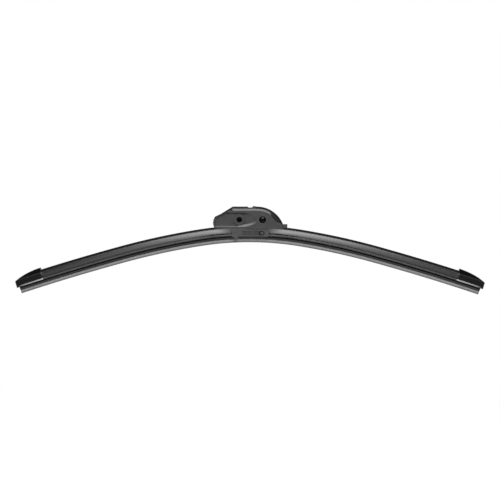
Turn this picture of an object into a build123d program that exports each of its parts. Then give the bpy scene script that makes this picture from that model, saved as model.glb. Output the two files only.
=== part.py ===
from build123d import *
import math
import os

# A flat beam wiper blade with a two-piece spoiler, end caps, a riveted base and an arm adapter.
# X runs along the blade, Y across it and Z away from the glass. Millimetres.
# The origin is the middle of the arm-pin bore in the adapter.

# Blade curve: an arch of tangent arcs, tightest in the middle
BLADE_LENGTH = 548.0  # tip to tip along the rails
CENTRE_RADIUS = 363.0
MID_RADIUS = 818.0
TIP_RADIUS = 2382.0
CENTRE_ARC = 116.0  # arc length of the middle stretch
MID_ARC = 88.0  # arc length of the stretch on each side of it
BLADE_OFFSET = 12.3  # arm-pin axis to the middle of the blade
BLADE_DROP = 16.8  # arm-pin axis down to the rails' mid-plane

# Spring rails
RAIL_WIDTH = 4.0
RAIL_THICKNESS = 0.9
RAIL_FIT = 0.1  # clearance round a rail in its grooves
RAIL_END_GAP = 0.4  # rail end to the cap's end wall
NOTCH_LENGTH = 5.0
NOTCH_DEPTH = 0.9

# Wiper rubber
WEB_WIDTH = 2.3
HEAD_WIDTH = 4.4
HEAD_HEIGHT = 1.4
SHOULDER_WIDTH = 7.0
SHOULDER_HEIGHT = 1.2
NECK_WIDTH = 1.1
NECK_HEIGHT = 0.8
WEDGE_WIDTH = 4.8
WEDGE_EDGE = 0.6
WEDGE_TAPER = 2.15
LIP_LENGTH = 3.9
LIP_ROOT_WIDTH = 0.9
LIP_EDGE_WIDTH = 0.66
RUBBER_INSET = 2.4  # rubber end to the cap's tip
RUBBER_FIT = 0.25  # clearance round the rubber's head and shoulder

# Spoiler
SPOILER_HEIGHT = 10.0  # above the rails' mid-plane
SPOILER_WALL = 0.8  # outside the rail's edge
CLAW_THICKNESS = 0.75
CLAW_REACH = 1.4
FIN_WIDTH = 1.9
FIN_LAND = 2.2  # straight upper part of the fin
FLANGE_TOP = 0.8  # above the rails' mid-plane
FLANK_HOLLOW = 0.9  # depth of the concave flank below its chord

# End caps
CAP_LENGTH = 32.4
CAP_OVERLAP = 10.0  # over the spoiler's end
CAP_END_GAP = 0.3  # spoiler's end to the end of its pocket
CAP_HEIGHT = 12.4  # ridge at the inner end
CAP_END_HEIGHT = 7.3  # ridge at the tip
CAP_CREASE = 6.6  # height of the crease along the sides
CAP_RIDGE_WIDTH = 4.2
CAP_TIP_WIDTH = 7.0  # width of the ridge at the tip
CAP_CROWN = 0.5  # rounding of the ridge
CAP_TIP_CROWN = 0.3
CAP_WALL = 1.1
CAP_FIT = 0.2  # clearance over the spoiler
CAP_LEDGE = 0.5  # flare of the rim along the lower edge
CAP_LEDGE_HEIGHT = 1.1
CAP_CLAW = 0.75  # below the rail groove
CAP_END_WALL = 2.2
CAP_TAPER = 1.3  # each side draws in by this much at the tip
CAP_LEAN = 2.0  # the inner edge's waist behind the ridge's end
CAP_WAIST = 2.6  # height of that waist
CAP_FLARE = 0.7  # foot of the inner edge behind the ridge's end
CAP_FOOT = 0.8  # end wall below the rim

# Connector base
BASE_LENGTH = 42.0
BASE_WALL = 1.3
BASE_HEIGHT = 7.9  # above the rails' mid-plane
BASE_CLAW = 1.85
BASE_SHOULDER = 2.2  # height of the sloped shoulder
BASE_SHOULDER_DEPTH = 0.9
EAR_THICKNESS = 1.6
EAR_RADIUS = 6.0
EAR_FOOT = 24.0  # length of the ears where they leave the saddle
PANEL_X = 3.4  # arm-pin axis to the first side panel
PANEL_LENGTH = 5.0
PANEL_PITCH = 6.2
PANEL_COUNT = 3
PANEL_HEIGHT = 4.6
PANEL_DEPTH = 0.5
WINDOW_X = 22.2
WINDOW_LENGTH = 5.0
WINDOW_HEIGHT = 4.8
WINDOW_POINT = 2.0
WINDOW_DEPTH = 1.9
BARB_LENGTH = 3.6
BARB_HEIGHT = 2.8
SIDE_CENTRE = 1.6  # middle of the panels and window above the rails' mid-plane
FINGER_X = -3.8
FINGER_WIDTH = 4.4
FINGER_DROP = 3.7  # below the claws
FINGER_THICKNESS = 1.6

# Rivet and bush
PIVOT_X = 26.5  # arm-pin axis to rivet axis
SHANK_DIAMETER = 5.5
RIVET_HEAD_DIAMETER = 7.8
RIVET_RECESS = 0.6  # head below the adapter's outer face
PIVOT_FIT = 0.05
BUSH_DIAMETER = 9.0
BUSH_PLAY = 0.1

# Arm adapter
PIN_BORE_DIAMETER = 6.4
PIN_SEAT = 1.2  # depth of the pin's blind seat in the far cheek
BOSS_DIAMETER = 12.8
CHEEK_THICKNESS = 2.0
CHEEK_CLEARANCE = 0.35  # base to cheek
ADAPTER_TOP = 14.7  # roof above the pin axis
ADAPTER_BOTTOM = 10.1  # cheeks' lower edge below the pin axis
BACK_REACH = 29.9  # pin axis to the open back end
BACK_ROUND = 2.0  # bulge of the back end
BACK_HEIGHT = 3.0  # top of the back end above the pin axis
SHELF_REACH = 21.2  # where the back slope steepens
SHELF_HEIGHT = 6.2
SLOPE_CHAMFER = 1.5  # bevel on the cheeks' outer edges along the back slope, seen from the side
SLOPE_DEPTH = 1.0  # the same bevel, seen from the end
ROOF_BACK = 7.6  # pin axis to the roof's back edge
ROOF_FRONT = 9.9
ROOF_LEAD = 1.6  # roof carried down the back slope
ROOF_THICKNESS = 1.8
SHOULDER_RADIUS = 4.4
SHOULDER_FACETS = 3
NOSE_RADIUS = 32.0
NOSE_LEAD = 1.0  # flat part of the cover before the nose curves down
TONGUE_END = 20.8  # front end of the finger recess
TONGUE_HEIGHT = 16.4
TONGUE_DEPTH = 0.9
TONGUE_SLOPE = 2.2  # width of the recess's sloping wall above and below
TONGUE_END_SLOPE = 4.2  # the same at its front end
TONGUE_FACETS = 18  # round its front end
RIM = 1.9  # cheek edge left round the recess
REST_DIAMETER = 2.4  # bar that ties the cheeks at the back
REST_X = 24.6
REST_Z = 0.6
TIE_X = 37.6  # web that ties the cheeks under the nose
TIE_THICKNESS = 1.7
TIE_TOP = 1.0  # below the pin axis
TIE_HEIGHT = 3.4
TOE_LENGTH = 4.8  # past the nose wall
TOE_TOP = 5.4  # below the pin axis
TOE_BOTTOM = 9.4
FIN_SLOT = 6.4  # gap in the nose wall for the fin

# Locking cover
COVER_GAP = 0.25
COVER_EDGE = 1.4  # side edge below the roof line
WING_DEPTH = 5.2  # side wings on the nose
WING_START = 60.0  # degrees up from the blade, seen from the nose's centre
WING_END = 32.5
WING_SLANT = 7.0
COVER_END = 23.5
SKIRT_LAP = 1.2  # inner walls of the cover past the parting line
SKIRT_THICKNESS = 1.0
HINGE_NOTCH = 4.6  # gap between roof and knuckle
HINGE_SEAT = 1.1  # notch floor below the roof line
HINGE_RADIUS = 2.1
HINGE_RISE = 0.5  # knuckle above the roof line
HINGE_EAR = 2.1  # thickness of the ears that hold the knuckle
HINGE_EAR_FOOT = 3.9  # ears below the notch floor
KNUCKLE_WIDTH = 11.0
TRUNNION_DIAMETER = 2.2
TRUNNION_LENGTH = 1.3

# Values that the pieces share
half_length = BLADE_LENGTH / 2
rail_in = WEB_WIDTH / 2 + RAIL_FIT
rail_out = rail_in + RAIL_WIDTH
groove_out = rail_out + RAIL_FIT
groove_half = RAIL_THICKNESS / 2 + RAIL_FIT
channel_half = HEAD_WIDTH / 2 + RUBBER_FIT
channel_top = groove_half + HEAD_HEIGHT + RUBBER_FIT
throat_half = SHOULDER_WIDTH / 2 + RUBBER_FIT
flange_half = groove_out + SPOILER_WALL
claw_in = max(groove_out - CLAW_REACH, throat_half)
base_half = groove_out + BASE_WALL
cheek_in = base_half + CHEEK_CLEARANCE
cheek_out = cheek_in + CHEEK_THICKNESS
rail_end = half_length - CAP_END_WALL - RAIL_END_GAP
cap_start = half_length - CAP_LENGTH
cap_notch = (cap_start + CAP_OVERLAP + rail_end) / 2
ear_in = base_half - EAR_THICKNESS
nose_z = ADAPTER_TOP - NOSE_RADIUS
hinge_x = ROOF_FRONT + HINGE_NOTCH + HINGE_RADIUS
hinge_z = ADAPTER_TOP + HINGE_RISE - HINGE_RADIUS
cover_back = hinge_x + HINGE_RADIUS + 2 * COVER_GAP
nose_x = cover_back + NOSE_LEAD
knuckle_half = KNUCKLE_WIDTH / 2
FAR = 100.0  # reach of cutting tools past the adapter


def frame_at(s):
    """Plane square to the blade at arc length s: local x across it, local y away from the glass."""
    x, z, angle, start = 0.0, 0.0, 0.0, 0.0
    ends = (CENTRE_ARC / 2, CENTRE_ARC / 2 + MID_ARC, math.inf)
    for end, radius in zip(ends, (CENTRE_RADIUS, MID_RADIUS, TIP_RADIUS)):
        turn = max(0.0, min(abs(s), end) - start) / radius
        x += radius * (math.sin(angle + turn) - math.sin(angle))
        z += radius * (math.cos(angle + turn) - math.cos(angle))
        angle += turn
        start = end
    side = math.copysign(1.0, s)
    origin = (BLADE_OFFSET + side * x, 0, z - BLADE_DROP)
    return Plane(origin, x_dir=(0, 1, 0), z_dir=(math.cos(angle), 0, -side * math.sin(angle)))


def radius_at(s):
    if abs(s) < CENTRE_ARC / 2:
        return CENTRE_RADIUS
    return MID_RADIUS if abs(s) < CENTRE_ARC / 2 + MID_ARC else TIP_RADIUS


def swept(section, start, end):
    """The solid left by a section that follows the blade's curve from one arc length to another."""
    knots = [side * knot for side in (-1, 1) for knot in (CENTRE_ARC / 2, CENTRE_ARC / 2 + MID_ARC)]
    stops = sorted([start, end] + [knot for knot in knots if start < knot < end])
    solid = Part()
    for near, far in zip(stops, stops[1:]):
        radius = radius_at((near + far) / 2)
        frame = frame_at(near)
        centre = frame.from_local_coords((0, -radius, 0))
        solid += revolve(frame * section, Axis(centre, (0, 1, 0)), math.degrees((far - near) / radius))
    return solid


def symmetric_face(*lines):
    """A face from the lines of its right half, which start and end on the local y axis."""
    half = Curve() + list(lines)
    return make_face(half.edges() + mirror(half, Plane.YZ).edges())


def rectangle(left, right, bottom, top):
    return Pos((left + right) / 2, (bottom + top) / 2) * Rectangle(right - left, top - bottom)


def across(profile, inner, outer):
    """Extrudes a side-view profile on both sides, between two distances from the middle."""
    plate = extrude(profile, outer - inner)
    near = Plane((0, -inner, 0), x_dir=(1, 0, 0), z_dir=(0, -1, 0)) * plate
    return near + mirror(near, Plane.XZ)


def through(profile, half_width):
    """Extrudes a side-view profile right across the blade."""
    return Plane.XZ * extrude(profile, half_width, both=True)


def grip_lines(start, bottom, top_line):
    """Inner outline of a piece that holds the rails: claw, rail groove and the rubber's channel."""
    return Polyline(
        start,
        (claw_in, -bottom),
        (claw_in, -groove_half),
        (groove_out, -groove_half),
        (groove_out, groove_half),
        (channel_half, groove_half),
        (channel_half, top_line),
        (0, top_line),
    )


def rubber():
    y = -groove_half - SHOULDER_HEIGHT
    neck_end = y - NECK_HEIGHT
    wedge_end = neck_end - WEDGE_EDGE
    lip_start = wedge_end - WEDGE_TAPER
    lip_end = lip_start - LIP_LENGTH
    section = symmetric_face(
        Polyline(
            (0, groove_half + HEAD_HEIGHT),
            (HEAD_WIDTH / 2, groove_half + HEAD_HEIGHT),
            (HEAD_WIDTH / 2, groove_half),
            (WEB_WIDTH / 2, groove_half),
            (WEB_WIDTH / 2, -groove_half),
            (SHOULDER_WIDTH / 2, -groove_half),
            (SHOULDER_WIDTH / 2, y),
            (NECK_WIDTH / 2, y),
            (NECK_WIDTH / 2, neck_end),
            (WEDGE_WIDTH / 2, neck_end),
            (WEDGE_WIDTH / 2, wedge_end),
            (LIP_ROOT_WIDTH / 2, lip_start),
            (LIP_EDGE_WIDTH / 2, lip_end),
            (0, lip_end),
        )
    )
    return swept(section, RUBBER_INSET - half_length, half_length - RUBBER_INSET)


def rail(side):
    """One spring rail, with a notch in its outer edge for the base and for each cap."""
    section = Pos(side * (rail_in + rail_out) / 2, 0) * Rectangle(RAIL_WIDTH, RAIL_THICKNESS)
    strip = swept(section, -rail_end, rail_end)
    notch = Pos(side * rail_out, 0, 0) * Box(2 * NOTCH_DEPTH, 2 * RAIL_THICKNESS, NOTCH_LENGTH)
    for s in (-cap_notch, 0, cap_notch):
        strip -= frame_at(s) * notch
    return strip


def barbs(s):
    """Lugs that fill the rails' notches at arc length s, less the fit."""
    inner = rail_out - NOTCH_DEPTH + RAIL_FIT
    outer = groove_out + SPOILER_WALL / 2
    lug = Box(outer - inner, 2 * groove_half + SPOILER_WALL, NOTCH_LENGTH - 2 * RAIL_FIT)
    return [frame_at(s) * Pos(side * (inner + outer) / 2, 0, 0) * lug for side in (-1, 1)]


def spoiler(start, end):
    """A fin with concave flanks on a flange that clips over both rails."""
    half = FIN_WIDTH / 2
    corner = half / 2
    top = (half, SPOILER_HEIGHT - FIN_LAND)
    foot = (flange_half, FLANGE_TOP)
    chord = math.hypot(foot[0] - top[0], foot[1] - top[1])
    inward = ((foot[1] - top[1]) / chord, (top[0] - foot[0]) / chord)
    middle = tuple((a + b) / 2 + FLANK_HOLLOW * n for a, b, n in zip(top, foot, inward))
    bottom = groove_half + CLAW_THICKNESS
    crest = [(0, SPOILER_HEIGHT), (half - corner, SPOILER_HEIGHT), (half, SPOILER_HEIGHT - corner), top]
    section = symmetric_face(
        Polyline(*crest),
        ThreePointArc(top, middle, foot),
        Line(foot, (flange_half, -bottom)),
        grip_lines((flange_half, -bottom), bottom, channel_top),
    )
    return swept(section, start, end)


def cap_section(part):
    """The cap's outer section, part of the way from its inner end to its tip."""

    def blend(inner, tip):
        return inner + (tip - inner) * part**2

    bottom = groove_half + CAP_CLAW
    side = flange_half + CAP_FIT + CAP_WALL - blend(0, CAP_TAPER)
    ledge = CAP_LEDGE_HEIGHT - bottom
    ridge = blend(CAP_HEIGHT, CAP_END_HEIGHT)
    ridge_half = blend(CAP_RIDGE_WIDTH, CAP_TIP_WIDTH) / 2
    crown = blend(CAP_CROWN, CAP_TIP_CROWN)
    return frame_at(cap_start + part * CAP_LENGTH) * symmetric_face(
        Polyline(
            (0, ridge),
            (ridge_half, ridge - crown),
            (side - CAP_WALL / 2, CAP_CREASE),
            (side, ledge),
            (side + CAP_LEDGE, -bottom),
            (0, -bottom),
        ),
    )


def end_cap():
    """The right-hand cap: a ridged shell over the spoiler's end, grooved for the rails."""
    shell = loft([cap_section(0), cap_section(0.5), cap_section(1)])
    foot_half = flange_half + CAP_FIT + CAP_WALL - CAP_TAPER
    foot = rectangle(-foot_half, foot_half, -groove_half - CAP_CLAW - CAP_FOOT, 0)
    shell += swept(foot, half_length - CAP_END_WALL, half_length)
    deep = -groove_half - CAP_CLAW - 2 * CAP_FOOT
    passage = rectangle(-groove_out, groove_out, -groove_half, groove_half)
    passage += rectangle(-channel_half, channel_half, 0, channel_top)
    passage += rectangle(-throat_half, throat_half, deep, 0)
    shell -= swept(passage, cap_start - CAP_LEAN, half_length - CAP_END_WALL)
    fin_half = FIN_WIDTH / 2 + CAP_FIT
    inside = flange_half + CAP_FIT
    pocket = symmetric_face(
        Polyline(
            (0, SPOILER_HEIGHT + CAP_FIT),
            (fin_half, SPOILER_HEIGHT + CAP_FIT),
            (fin_half, SPOILER_HEIGHT - FIN_LAND),
            (inside, FLANGE_TOP + CAP_FIT),
            (inside, deep),
            (0, deep),
        )
    )
    shell -= swept(pocket, cap_start - CAP_LEAN, cap_start + CAP_OVERLAP + CAP_END_GAP)
    frame = frame_at(cap_start)
    side_view = Plane(frame.origin, x_dir=frame.z_dir, z_dir=(0, -1, 0))
    lean = Polyline(
        (-CAP_LEAN, deep),
        (CAP_FLARE, deep),
        (CAP_FLARE, 0),
        (CAP_LEAN, CAP_WAIST),
        (0, CAP_HEIGHT),
        (-CAP_LEAN, CAP_HEIGHT),
        close=True,
    )
    shell -= side_view * extrude(make_face(lean), 2 * cheek_out, both=True)
    return shell + barbs(cap_notch)


def rail_height(x):
    """Height of the rails' mid-plane at a place along X, near the middle of the blade."""
    return frame_at(x - BLADE_OFFSET).origin.Z


def side_panels():
    """Shallow panels moulded into the base's side walls."""
    z = rail_height(PANEL_X) + SIDE_CENTRE
    for i in range(PANEL_COUNT):
        x = PANEL_X + i * PANEL_PITCH
        yield rectangle(x, x + PANEL_LENGTH, z - PANEL_HEIGHT / 2, z + PANEL_HEIGHT / 2)


def snap_window():
    """Pointed window in the base's side wall, round a raised barb."""
    z = rail_height(WINDOW_X) + SIDE_CENTRE
    end = WINDOW_X + WINDOW_LENGTH
    half = WINDOW_HEIGHT / 2
    frame = Polyline(
        (WINDOW_X, z - half),
        (end, z - half),
        (end + WINDOW_POINT, z),
        (end, z + half),
        (WINDOW_X, z + half),
        close=True,
    )
    middle = WINDOW_X + (WINDOW_LENGTH + WINDOW_POINT) / 2
    barb = Pos(middle, z) * Rectangle(BARB_LENGTH, BARB_HEIGHT)
    return make_face(frame) - barb


def connector_base():
    """The saddle that grips both rails, with ears for the rivet and a finger that stops the rubber."""
    bottom = groove_half + BASE_CLAW
    shoulder = BASE_HEIGHT - BASE_SHOULDER
    section = symmetric_face(
        Polyline(
            (0, BASE_HEIGHT),
            (base_half - BASE_SHOULDER_DEPTH, BASE_HEIGHT),
            (base_half, shoulder),
            (base_half, -bottom),
        ),
        grip_lines((base_half, -bottom), bottom, channel_top),
    )
    base = swept(section, -BASE_LENGTH / 2, BASE_LENGTH / 2) + barbs(0)
    foot_end = PIVOT_X + EAR_RADIUS
    foot_z = rail_height(foot_end) + shoulder
    foot = Line((foot_end - EAR_FOOT, foot_z), (foot_end, foot_z))
    ear = make_hull((Pos(PIVOT_X, 0) * Circle(EAR_RADIUS)).edges() + [foot])
    base += across(ear, ear_in, base_half)
    base -= through(Pos(PIVOT_X, 0) * Circle(SHANK_DIAMETER / 2 + PIVOT_FIT), base_half)
    for panel in side_panels():
        base -= across(panel, base_half - PANEL_DEPTH, cheek_in)
    base -= across(snap_window(), base_half - WINDOW_DEPTH, cheek_in)
    claw_end = rail_height(FINGER_X) - bottom
    left, right = FINGER_X - FINGER_WIDTH / 2, FINGER_X + FINGER_WIDTH / 2
    finger = rectangle(left, right, claw_end - FINGER_DROP, claw_end + BASE_CLAW / 2)
    finger = fillet(finger.vertices().group_by(Axis.Y)[0], FINGER_WIDTH / 5)
    return base + across(finger, base_half - FINGER_THICKNESS, base_half)


def pivot_rivet():
    shank = SHANK_DIAMETER / 2
    head = RIVET_HEAD_DIAMETER / 2
    seat = base_half + PIVOT_FIT
    crown = cheek_out - RIVET_RECESS
    half = [(0, crown), (head, crown), (head, seat), (shank, seat)]
    mirrored = [(x, -y) for x, y in reversed(half)]
    profile = make_face(Polyline(*half, *mirrored, close=True))
    return revolve(Pos(PIVOT_X, 0) * profile, Axis((PIVOT_X, 0, 0), (0, 1, 0)))


def pivot_bush():
    ring = Circle(BUSH_DIAMETER / 2) - Circle(SHANK_DIAMETER / 2 + PIVOT_FIT)
    return through(Pos(PIVOT_X, 0) * ring, ear_in - BUSH_PLAY)


def nose_point(angle, depth):
    """Side-view point on a ray from the nose's centre, at a depth below the nose's outside."""
    reach = NOSE_RADIUS - depth
    turn = math.radians(angle)
    return (nose_x + reach * math.cos(turn), nose_z + reach * math.sin(turn))


def hood(*half_outline):
    """A long roof of one section, given from its crown to its side, that bends down into the nose."""
    section = symmetric_face(Polyline(*half_outline, (half_outline[-1][0], 0), (0, 0)))
    front = Plane((nose_x, 0, nose_z), x_dir=(0, 1, 0), z_dir=(1, 0, 0)) * section
    return extrude(front, -FAR) + revolve(front, Axis((nose_x, 0, nose_z), (0, 1, 0)), 90)


def hood_shell():
    shoulder = []
    for i in range(SHOULDER_FACETS + 1):
        turn = math.pi / 2 * i / SHOULDER_FACETS
        across_by = cheek_out - SHOULDER_RADIUS * (1 - math.sin(turn))
        shoulder.append((across_by, NOSE_RADIUS - SHOULDER_RADIUS * (1 - math.cos(turn))))
    ceiling = NOSE_RADIUS - ROOF_THICKNESS
    return hood((0, NOSE_RADIUS), *shoulder) - hood((0, ceiling), (cheek_in, ceiling))


def adapter_outline():
    """Side view that trims the hood: bulged back end, two-step back slope and straight lower edge."""
    back = BACK_ROUND - BACK_REACH
    low = (back, -ADAPTER_BOTTOM)
    high = (back, BACK_HEIGHT)
    bulge = (-BACK_REACH, (BACK_HEIGHT - ADAPTER_BOTTOM) / 2)
    top = Polyline(
        high,
        (-SHELF_REACH, SHELF_HEIGHT),
        (-ROOF_BACK, ADAPTER_TOP),
        (-ROOF_BACK, FAR),
        (FAR, FAR),
        (FAR, -ADAPTER_BOTTOM),
        low,
    )
    return make_face((Curve() + [ThreePointArc(low, bulge, high), top]).edges())


def cover_zone(gap):
    """Side view of all that the cover takes from the hood, less a gap along the parting line."""
    edge = COVER_EDGE - gap
    wing = WING_DEPTH - gap
    end = COVER_END + math.degrees(gap / NOSE_RADIUS)
    start = nose_point(WING_START, edge)
    back = (cover_back + gap, ADAPTER_TOP - edge)
    lip = nose_point(end, -FAR)
    crown = Polyline(lip, (FAR, FAR), (back[0], FAR), back, nose_point(90, edge))
    sweep = ThreePointArc(nose_point(90, edge), nose_point((90 + WING_START) / 2, edge), start)
    side = Polyline(
        start,
        nose_point(WING_START - WING_SLANT, wing),
        nose_point(WING_END, wing),
        nose_point(WING_END - WING_SLANT, edge),
        nose_point(end, edge),
        lip,
    )
    return make_face((Curve() + [crown, sweep, side]).edges())


def nose_opening():
    """Side view of the space between the cheeks that only the cover closes."""
    lip = nose_point(COVER_END, -FAR)
    corners = [(nose_x, nose_z), lip, (FAR, FAR), (ROOF_FRONT, FAR), (ROOF_FRONT, nose_z)]
    return make_face(Polyline(*corners, close=True))


def back_bevels():
    """Cutters for the bevels on the near cheek's outer edge, one for each step of the back slope."""
    corners = [(BACK_ROUND - BACK_REACH, BACK_HEIGHT), (-SHELF_REACH, SHELF_HEIGHT), (-ROOF_BACK, ADAPTER_TOP)]
    wedge = Polyline(
        (-SLOPE_DEPTH, -2 * SLOPE_CHAMFER),
        (2 * SLOPE_DEPTH, SLOPE_CHAMFER),
        (-SLOPE_DEPTH, SLOPE_CHAMFER),
        close=True,
    )
    for (x, z), (next_x, next_z) in zip(corners, corners[1:]):
        length = math.hypot(next_x - x, next_z - z)
        slope = Plane((x, -cheek_out, z), x_dir=(0, 1, 0), z_dir=(next_x - x, 0, next_z - z))
        yield slope * Pos(0, 0, -SLOPE_CHAMFER / 10) * extrude(make_face(wedge), length + SLOPE_CHAMFER / 5)


def tongue():
    """Cutter for the finger recess in the near cheek, half an ellipse round the pin, less its boss."""

    def outline(reach, half):
        turns = [math.pi * (i / TONGUE_FACETS - 0.5) for i in range(TONGUE_FACETS + 1)]
        front = [(reach * math.cos(turn), half * math.sin(turn)) for turn in turns]
        return make_face(Polyline((-FAR, -half), *front, (-FAR, half), close=True))

    def level(depth):
        return Plane((0, depth - cheek_out, 0), x_dir=(1, 0, 0), z_dir=(0, -1, 0))

    mouth = level(0) * outline(TONGUE_END, TONGUE_HEIGHT / 2)
    floor = level(TONGUE_DEPTH) * outline(TONGUE_END - TONGUE_END_SLOPE, TONGUE_HEIGHT / 2 - TONGUE_SLOPE)
    cutter = loft([mouth, floor], ruled=True)
    cutter &= through(offset(adapter_outline(), -RIM), FAR)
    return cutter - through(Circle(BOSS_DIAMETER / 2), FAR)


def hinge_ears():
    """Ears on the cheeks that carry the cover's knuckle, with blind holes for its trunnions."""
    low = ADAPTER_TOP - HINGE_SEAT - HINGE_EAR_FOOT
    foot = Line((hinge_x - HINGE_RADIUS, low), (hinge_x + HINGE_RADIUS, low))
    barrel = Pos(hinge_x, hinge_z) * Circle(HINGE_RADIUS)
    inner = knuckle_half + COVER_GAP
    ears = across(make_hull(barrel.edges() + [foot]), inner, inner + HINGE_EAR)
    hole = Pos(hinge_x, hinge_z) * Circle(TRUNNION_DIAMETER / 2 + PIVOT_FIT)
    return ears - through(hole, knuckle_half + TRUNNION_LENGTH + PIVOT_FIT)


def adapter_body():
    body = hood_shell() & through(adapter_outline(), FAR)
    body -= through(rectangle(-FAR, -ROOF_BACK - ROOF_LEAD, -FAR, FAR), cheek_in)
    body -= through(rectangle(ROOF_FRONT, cover_back, ADAPTER_TOP - HINGE_SEAT, FAR), FAR)
    body -= through(cover_zone(0), FAR)
    body -= through(nose_opening(), cheek_in)
    body += hinge_ears()
    body += through(Pos(-REST_X, REST_Z) * Circle(REST_DIAMETER / 2), cheek_in + CHEEK_THICKNESS / 4)
    tie = rectangle(TIE_X, TIE_X + TIE_THICKNESS, -TIE_TOP - TIE_HEIGHT, -TIE_TOP)
    body += through(tie, cheek_in + CHEEK_THICKNESS / 4)
    body -= through(rectangle(TIE_X + TIE_THICKNESS, FAR, -FAR, FAR), FIN_SLOT / 2)
    wall = nose_x + math.sqrt(NOSE_RADIUS**2 - (TOE_TOP + nose_z) ** 2)
    toe = rectangle(wall - ROOF_THICKNESS / 2, wall + TOE_LENGTH, -TOE_BOTTOM, -TOE_TOP)
    body += across(toe, FIN_SLOT / 2, cheek_in)
    for cutter in [tongue(), *back_bevels()]:
        body -= cutter
        body -= mirror(cutter, Plane.XZ)
    seat = Plane((0, cheek_in + PIN_SEAT, 0), x_dir=(1, 0, 0), z_dir=(0, -1, 0))
    body -= seat * extrude(Circle(PIN_BORE_DIAMETER / 2), FAR)
    return body - through(Pos(PIVOT_X, 0) * Circle(RIVET_HEAD_DIAMETER / 2 + PIVOT_FIT), FAR)


def cover_skirt():
    """Inner walls of the cover, which lap behind the parting line on the cheeks."""
    lip = nose_point(COVER_END + math.degrees(COVER_GAP / NOSE_RADIUS), -FAR)
    front = make_face(Polyline((nose_x, nose_z), lip, (FAR, FAR), (nose_x, FAR), close=True))
    nose = front & Pos(nose_x, nose_z) * Circle(NOSE_RADIUS - ROOF_THICKNESS / 2)
    face = cheek_in - COVER_GAP
    lap = across(cover_zone(-SKIRT_LAP) & nose, face - SKIRT_THICKNESS, face)
    return lap + across(cover_zone(COVER_GAP) & nose, face, cheek_in)


def locking_cover():
    cover = hood_shell() & through(cover_zone(COVER_GAP), FAR)
    cover += cover_skirt()
    barrel = Pos(hinge_x, hinge_z) * Circle(HINGE_RADIUS)
    joint = cover_back + 2 * COVER_GAP
    edge = Line((joint, ADAPTER_TOP - ROOF_THICKNESS), (joint, ADAPTER_TOP))
    cover += through(make_hull(barrel.edges() + [edge]), knuckle_half)
    trunnion = Pos(hinge_x, hinge_z) * Circle(TRUNNION_DIAMETER / 2)
    return cover + through(trunnion, knuckle_half + TRUNNION_LENGTH)


right_cap = end_cap()
pieces = {
    "wiper_rubber": rubber(),
    "spring_rail_front": rail(-1),
    "spring_rail_rear": rail(1),
    "spoiler_left": spoiler(-cap_start - CAP_OVERLAP, -BASE_LENGTH / 2),
    "spoiler_right": spoiler(BASE_LENGTH / 2, cap_start + CAP_OVERLAP),
    "end_cap_left": mirror(right_cap, Plane.YZ.offset(BLADE_OFFSET)),
    "end_cap_right": right_cap,
    "connector_base": connector_base(),
    "pivot_rivet": pivot_rivet(),
    "pivot_bush": pivot_bush(),
    "adapter_body": adapter_body(),
    "locking_cover": locking_cover(),
}
os.makedirs("parts", exist_ok=True)
for name, piece in pieces.items():
    export_step(piece, f"parts/{name}.step")
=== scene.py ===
import math

import bmesh
import bpy
from mathutils import Matrix, Vector

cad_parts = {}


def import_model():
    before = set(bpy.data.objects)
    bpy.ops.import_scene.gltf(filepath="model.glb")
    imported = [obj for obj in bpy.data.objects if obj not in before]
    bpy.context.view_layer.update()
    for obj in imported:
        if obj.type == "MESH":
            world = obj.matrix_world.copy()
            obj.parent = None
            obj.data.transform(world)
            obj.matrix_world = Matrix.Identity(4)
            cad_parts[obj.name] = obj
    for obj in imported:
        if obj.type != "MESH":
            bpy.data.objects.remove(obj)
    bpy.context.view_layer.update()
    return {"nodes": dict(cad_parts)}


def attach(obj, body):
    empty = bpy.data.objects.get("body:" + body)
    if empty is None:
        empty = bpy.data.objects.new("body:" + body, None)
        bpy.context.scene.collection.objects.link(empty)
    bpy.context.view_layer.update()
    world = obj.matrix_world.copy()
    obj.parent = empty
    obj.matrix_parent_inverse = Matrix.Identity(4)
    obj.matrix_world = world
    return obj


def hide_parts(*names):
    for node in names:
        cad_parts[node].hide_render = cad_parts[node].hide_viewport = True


# A flat beam wiper blade, seen from the side on white. Lengths are in millimetres and angles in
# degrees until they go into a mesh, lamp or camera.
MM = 0.001

# Blade curve: tangent arcs, tightest in the middle
BLADE_LENGTH = 548.0
ARC_ENDS = (58.0, 146.0, math.inf)
ARC_RADII = (363.0, 818.0, 2382.0)
BLADE_OFFSET = 12.3
BLADE_DROP = 16.8

# Meshes: the step along the curve, the steps in a rounded corner, and the bend that stays an edge
STATION_STEP = 2.5
CORNER_STEPS = 4
CREASE_ANGLE = 35

# Rail groove and rubber channel, shared by all that grips the rails
GROOVE_HALF = 0.55
GROOVE_OUT = 5.35
CHANNEL_HALF = 2.45
CHANNEL_TOP = 2.2
THROAT_HALF = 3.75
CLAW_IN = 3.95

# Spoiler: an upright land below its crest, a hollow flank, and a flange with claws under the rails
SPOILER_TOP = 10.0
SPOILER_END = 251.6
BASE_HALF_LENGTH = 21.0
FIN_HALF = 0.95
FIN_CREST = 0.2
FIN_LAND = 2.6
FIN_BEND = 4.0
FIN_CREASE_ANGLE = 10
FLANK_HOLLOW = 0.9
FLANK_STEPS = 12
FLANGE_HALF = 6.15
FLANGE_TOP = 0.5
FLANGE_EDGE = 0.3
CLAW_BOTTOM = 1.3
CLAW_EDGES = (0.25, 0.2)

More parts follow.
